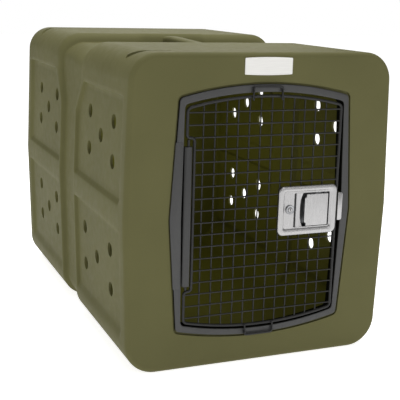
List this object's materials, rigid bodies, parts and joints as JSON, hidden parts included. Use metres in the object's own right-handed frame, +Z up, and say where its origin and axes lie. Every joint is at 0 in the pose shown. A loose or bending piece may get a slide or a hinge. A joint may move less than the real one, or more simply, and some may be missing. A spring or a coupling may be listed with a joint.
{
  "type": "pet transport carrier",
  "caption": "Moulded pet kennel with a wire door, ring surround, hinge post and keyed paddle latch; vented sides and a roof grip.",
  "frame": {"origin": "on the floor, under the middle of the object's bounding box", "axes": "+Z up, -Y out of the door's face, +X to the right as seen from in front of the door"},
  "size_m": [0.6126, 0.956, 0.674],
  "materials": {
    "olive_polyethylene": "matte rotomoulded",
    "dark_grey_plastic": "satin",
    "black_powder_coat": "satin powder coat",
    "brushed_stainless": "brushed",
    "zinc_plate": "zinc plated",
    "pale_plate": "printed plate, left blank"
  },
  "bodies": {
    "kennel": {"kennel_body": "olive_polyethylene", "door_frame": "dark_grey_plastic", "frame_screw_1": "zinc_plate", "frame_screw_2": "zinc_plate", "frame_screw_3": "zinc_plate", "frame_screw_4": "zinc_plate", "frame_screw_5": "zinc_plate", "frame_screw_6": "zinc_plate", "frame_screw_7": "zinc_plate", "frame_screw_8": "zinc_plate", "hinge_post": "dark_grey_plastic", "hinge_post_screw_1": "zinc_plate", "hinge_post_screw_2": "zinc_plate", "hinge_post_screw_3": "zinc_plate", "strike_plate": "brushed_stainless", "strike_screw_1": "zinc_plate", "strike_screw_2": "zinc_plate", "badge": "pale_plate"},
    "door": {"door_rod": "black_powder_coat", "door_mesh": "black_powder_coat", "top_stop_loop": "black_powder_coat", "bottom_stop_loop": "black_powder_coat", "hinge_pin_upper": "black_powder_coat", "hinge_pin_lower": "black_powder_coat", "latch_plate": "brushed_stainless", "latch_backplate": "zinc_plate", "latch_nut_1": "zinc_plate", "latch_nut_2": "zinc_plate", "latch_nut_3": "zinc_plate", "latch_nut_4": "zinc_plate", "latch_housing": "zinc_plate", "paddle_pin": "zinc_plate", "paddle_spring": "zinc_plate", "lock_barrel": "zinc_plate", "lock_nut": "zinc_plate"},
    "paddle": {"latch_paddle": "brushed_stainless"},
    "bolt": {"latch_bolt": "brushed_stainless"},
    "lock": {"lock_plug": "brushed_stainless", "lock_cam": "zinc_plate"}
  },
  "joints": [
    {"name": "door_swing", "type": "hinge", "parent": "kennel", "child": "door", "pos_m": [-0.1715, -0.469, 0.329], "axis": [0, 0, -1], "range_deg": [0, 145]},
    {"name": "paddle_pull", "type": "hinge", "parent": "door", "child": "paddle", "pos_m": [0.149, -0.4712, 0.332], "axis": [0, 0, 1], "range_deg": [0, 35], "stiffness_Nm_per_rad": 0.3, "springref_deg": -5.73},
    {"name": "bolt_slide", "type": "slide", "parent": "door", "child": "bolt", "axis": [1, 0, 0], "range_m": [-0.0086, 0]},
    {"name": "lock_turn", "type": "hinge", "parent": "door", "child": "lock", "pos_m": [0.0613, -0.469, 0.3354], "axis": [0, 1, 0], "range_deg": [0, 90]}
  ],
  "couplings": [
    {"joint": "bolt_slide", "follows": "paddle_pull", "m_per_rad": -0.0139}
  ]
}
